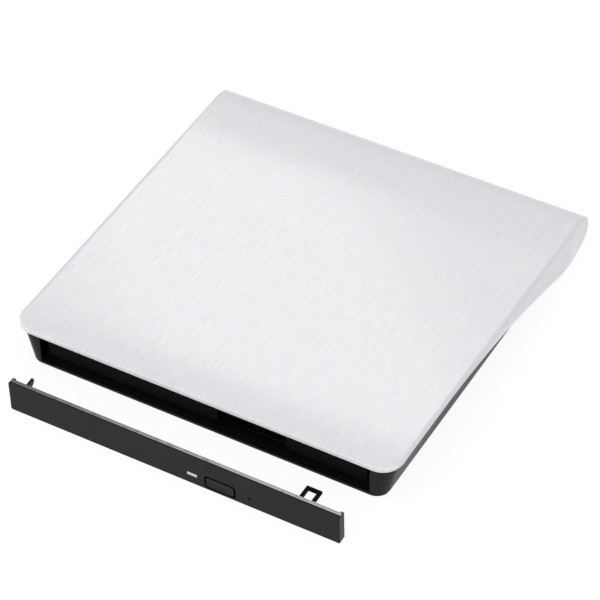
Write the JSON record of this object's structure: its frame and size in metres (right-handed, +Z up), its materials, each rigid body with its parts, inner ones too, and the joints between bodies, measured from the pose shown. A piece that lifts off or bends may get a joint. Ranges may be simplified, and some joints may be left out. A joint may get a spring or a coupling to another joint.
{
  "type": "external disc drive",
  "caption": "Slim external disc drive with a brushed white wave cover, black base, sliding disc tray with its pickup mechanism, and a clip-on front bezel with an eject button.",
  "frame": {"origin": "middle of the footprint of the case and the bezel that stands before it, on the table under the rubber feet", "axes": "+X to the right seen from the front, +Y rearwards from the bezel to the nose, +Z up"},
  "size_m": [0.149, 0.167, 0.0168],
  "materials": {
    "brushed_white": "brushed white lacquer, satin",
    "black_case": "fine matte moulded plastic",
    "bezel_black": "fine matte moulded plastic",
    "tray_black": "fine matte moulded plastic",
    "lamp_clear": "frosted clear plastic",
    "foot_rubber": "soft matte rubber",
    "screw_steel": "turned zinc plated steel",
    "coated_steel": "thin black coat on sheet steel",
    "plate_aluminium": "rolled aluminium sheet",
    "black_nylon": "black nylon",
    "rail_steel": "drawn steel",
    "rod_steel": "ground steel rod",
    "frame_metal": "bead blasted casting",
    "motor_metal": "pressed steel can",
    "natural_nylon": "natural nylon",
    "table_plastic": "hard black plastic",
    "grip_rubber": "soft grip ring",
    "board_green": "green solder resist",
    "chip_black": "moulded epoxy",
    "connector_black": "moulded connector body",
    "socket_shell": "plated sheet shell",
    "ribbon": "amber film cable",
    "brass": "turned brass",
    "coil_copper": "enamelled winding",
    "lens_glass": "coated lens"
  },
  "bodies": {
    "case": {"top_cover": "brushed_white", "base_tub": "black_case", "rubber_feet": "foot_rubber", "case_screws": "screw_steel", "drive_pan": "coated_steel", "drive_top_plate": "coated_steel", "drive_screws": "screw_steel", "left_rail_guide": "black_nylon", "right_rail_guide": "black_nylon", "latch_post": "brass", "connector_board": "board_green", "drive_connector": "connector_black", "ribbon_cable": "ribbon", "bridge_board": "board_green", "bridge_chips": "chip_black", "bridge_screws": "screw_steel", "sata_receptacle": "connector_black", "usb_socket": "socket_shell"},
    "left_rail": {"left_rail": "rail_steel"},
    "right_rail": {"right_rail": "rail_steel"},
    "tray": {"disc_tray": "tray_black", "tray_plate": "plate_aluminium", "tray_screws": "screw_steel", "traverse_frame": "frame_metal", "damper_bushes": "foot_rubber", "damper_screws": "screw_steel", "spindle_motor": "motor_metal", "left_guide_rod": "rod_steel", "right_guide_rod": "rod_steel", "sled_motor": "motor_metal", "button_board": "board_green", "eject_switch": "socket_shell", "tray_board": "board_green", "tray_chips": "chip_black", "latch_solenoid": "coil_copper", "latch_pivot": "screw_steel"},
    "turntable": {"turntable": "table_plastic", "turntable_pad": "grip_rubber", "hub_pawls": "natural_nylon"},
    "lead_screw": {"lead_screw": "rod_steel"},
    "pickup": {"pickup_carriage": "frame_metal", "lens_actuator": "table_plastic", "objective_lens": "lens_glass"},
    "latch": {"latch_lever": "natural_nylon"},
    "bezel": {"front_bezel": "bezel_black", "lamp_window": "lamp_clear"},
    "eject_button": {"eject_button": "bezel_black"}
  },
  "joints": [
    {"name": "tray_slide", "type": "slide", "parent": "case", "child": "tray", "axis": [0, -1, 0], "range_m": [0, 0.128]},
    {"name": "left_rail_slide", "type": "slide", "parent": "case", "child": "left_rail", "axis": [0, -1, 0], "range_m": [0, 0.064]},
    {"name": "right_rail_slide", "type": "slide", "parent": "case", "child": "right_rail", "axis": [0, -1, 0], "range_m": [0, 0.064]},
    {"name": "turntable_spin", "type": "hinge", "parent": "tray", "child": "turntable", "pos_m": [0, 0.0047, 0.01085], "axis": [0, 0, 1], "continuous": true},
    {"name": "pickup_slide", "type": "slide", "parent": "tray", "child": "pickup", "axis": [-0.7071, -0.7071, 0], "range_m": [0, 0.033]},
    {"name": "lead_screw_spin", "type": "hinge", "parent": "tray", "child": "lead_screw", "pos_m": [-0.00778, -0.02995, 0.0058], "axis": [-0.7071, -0.7071, 0], "range_deg": [0, 3960]},
    {"name": "latch_swing", "type": "hinge", "parent": "tray", "child": "latch", "pos_m": [0.0405, -0.0505, 0.0044], "axis": [0, 0, 1], "range_deg": [0, 14]},
    {"name": "bezel_clip", "type": "slide", "parent": "tray", "child": "bezel", "axis": [-0.0949, 0.9919, 0.0841], "range_m": [0, 0.02319]},
    {"name": "eject_press", "type": "slide", "parent": "bezel", "child": "eject_button", "axis": [0, 1, 0], "range_m": [0, 0.0008], "stiffness_N_per_m": 300}
  ],
  "couplings": [
    {"joint": "left_rail_slide", "follows": "tray_slide", "ratio": 0.5},
    {"joint": "right_rail_slide", "follows": "tray_slide", "ratio": 0.5},
    {"joint": "lead_screw_spin", "follows": "pickup_slide", "rad_per_m": 2094.4}
  ]
}
